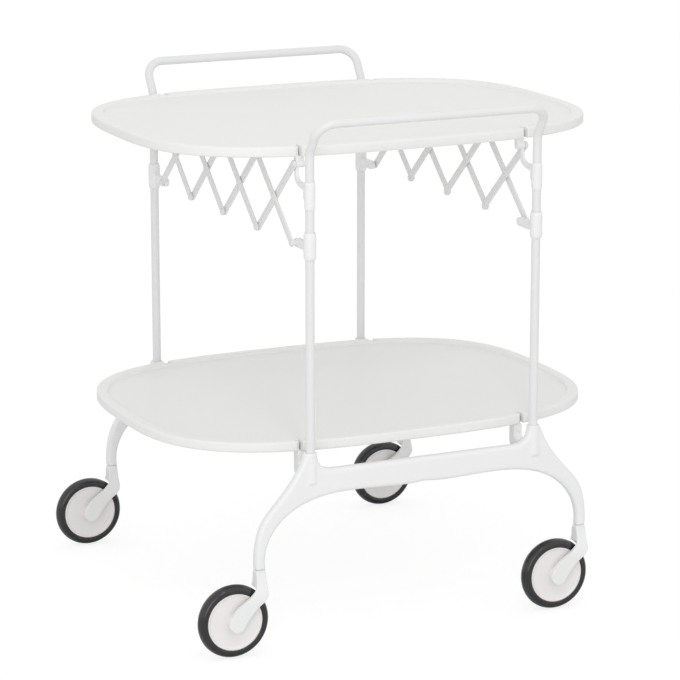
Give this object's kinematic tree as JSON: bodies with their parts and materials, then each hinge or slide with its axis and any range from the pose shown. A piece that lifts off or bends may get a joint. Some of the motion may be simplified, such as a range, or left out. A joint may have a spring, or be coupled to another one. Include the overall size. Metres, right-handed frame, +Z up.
{
  "type": "folding serving trolley",
  "caption": "White folding serving trolley: bent-tube side frames on cast legs, lift-off trays, riveted lattices and one-armed swivel casters",
  "frame": {"origin": "on the floor under the middle of the trolley", "axes": "X along the side frames, the trays' long way; Y from the near frame to the far one; Z up"},
  "size_m": [0.661, 0.618, 0.716],
  "materials": {
    "white_paint": "satin white powder coat",
    "tray_plastic": "satin warm white moulding",
    "tray_plastic_caster": "satin white moulding",
    "hub_plastic": "satin off-white moulding",
    "tyre_rubber": "glossy black",
    "steel_pins": "white coated steel"
  },
  "bodies": {
    "frame": {"near_frame_tube": "white_paint", "near_leg_casting": "white_paint", "near_bracket_pins": "steel_pins", "near_collar_pins": "steel_pins", "near_caster_stems": "steel_pins", "near_left_bracket": "white_paint", "near_left_collar": "white_paint", "near_right_bracket": "white_paint", "near_right_collar": "white_paint", "far_frame_tube": "white_paint", "far_leg_casting": "white_paint", "far_bracket_pins": "steel_pins", "far_collar_pins": "steel_pins", "far_caster_stems": "steel_pins", "far_left_bracket": "white_paint", "far_left_collar": "white_paint", "far_right_bracket": "white_paint", "far_right_collar": "white_paint", "lattice_rivets_1": "steel_pins", "left_link_a1": "white_paint", "left_link_b1": "white_paint", "right_link_a1": "white_paint", "right_link_b1": "white_paint", "lattice_rivets_2": "steel_pins", "left_link_a2": "white_paint", "left_link_b2": "white_paint", "right_link_a2": "white_paint", "right_link_b2": "white_paint", "lattice_rivets_3": "steel_pins", "left_link_a3": "white_paint", "left_link_b3": "white_paint", "right_link_a3": "white_paint", "right_link_b3": "white_paint", "lattice_rivets_4": "steel_pins", "left_link_a4": "white_paint", "left_link_b4": "white_paint", "right_link_a4": "white_paint", "right_link_b4": "white_paint"},
    "near_left_caster": {"near_left_caster_arm": "tray_plastic_caster", "near_left_wheel_axle": "steel_pins"},
    "near_left_wheel": {"near_left_wheel_hub": "hub_plastic", "near_left_tyre": "tyre_rubber"},
    "near_right_caster": {"near_right_caster_arm": "tray_plastic_caster", "near_right_wheel_axle": "steel_pins"},
    "near_right_wheel": {"near_right_wheel_hub": "hub_plastic", "near_right_tyre": "tyre_rubber"},
    "far_left_caster": {"far_left_caster_arm": "tray_plastic_caster", "far_left_wheel_axle": "steel_pins"},
    "far_left_wheel": {"far_left_wheel_hub": "hub_plastic", "far_left_tyre": "tyre_rubber"},
    "far_right_caster": {"far_right_caster_arm": "tray_plastic_caster", "far_right_wheel_axle": "steel_pins"},
    "far_right_wheel": {"far_right_wheel_hub": "hub_plastic", "far_right_tyre": "tyre_rubber"},
    "top_tray": {"top_tray": "tray_plastic"},
    "lower_tray": {"lower_tray": "tray_plastic"}
  },
  "joints": [
    {"name": "top_tray_lift", "type": "slide", "parent": "frame", "child": "top_tray", "axis": [0, 0, 1], "range_m": [0, 0.12]},
    {"name": "lower_tray_lift", "type": "slide", "parent": "frame", "child": "lower_tray", "axis": [0, 0, 1], "range_m": [0, 0.12]},
    {"name": "near_left_swivel", "type": "hinge", "parent": "frame", "child": "near_left_caster", "pos_m": [-0.2415, -0.276, 0.11], "axis": [0, 0, 1], "continuous": true},
    {"name": "near_left_wheel_spin", "type": "hinge", "parent": "near_left_caster", "child": "near_left_wheel", "pos_m": [-0.28, -0.276, 0.05], "axis": [0, 1, 0], "continuous": true},
    {"name": "near_right_swivel", "type": "hinge", "parent": "frame", "child": "near_right_caster", "pos_m": [0.2415, -0.276, 0.11], "axis": [0, 0, 1], "continuous": true},
    {"name": "near_right_wheel_spin", "type": "hinge", "parent": "near_right_caster", "child": "near_right_wheel", "pos_m": [0.203, -0.276, 0.05], "axis": [0, 1, 0], "continuous": true},
    {"name": "far_left_swivel", "type": "hinge", "parent": "frame", "child": "far_left_caster", "pos_m": [-0.2415, 0.276, 0.11], "axis": [0, 0, 1], "continuous": true},
    {"name": "far_left_wheel_spin", "type": "hinge", "parent": "far_left_caster", "child": "far_left_wheel", "pos_m": [-0.28, 0.276, 0.05], "axis": [0, 1, 0], "continuous": true},
    {"name": "far_right_swivel", "type": "hinge", "parent": "frame", "child": "far_right_caster", "pos_m": [0.2415, 0.276, 0.11], "axis": [0, 0, 1], "continuous": true},
    {"name": "far_right_wheel_spin", "type": "hinge", "parent": "far_right_caster", "child": "far_right_wheel", "pos_m": [0.203, 0.276, 0.05], "axis": [0, 1, 0], "continuous": true}
  ]
}
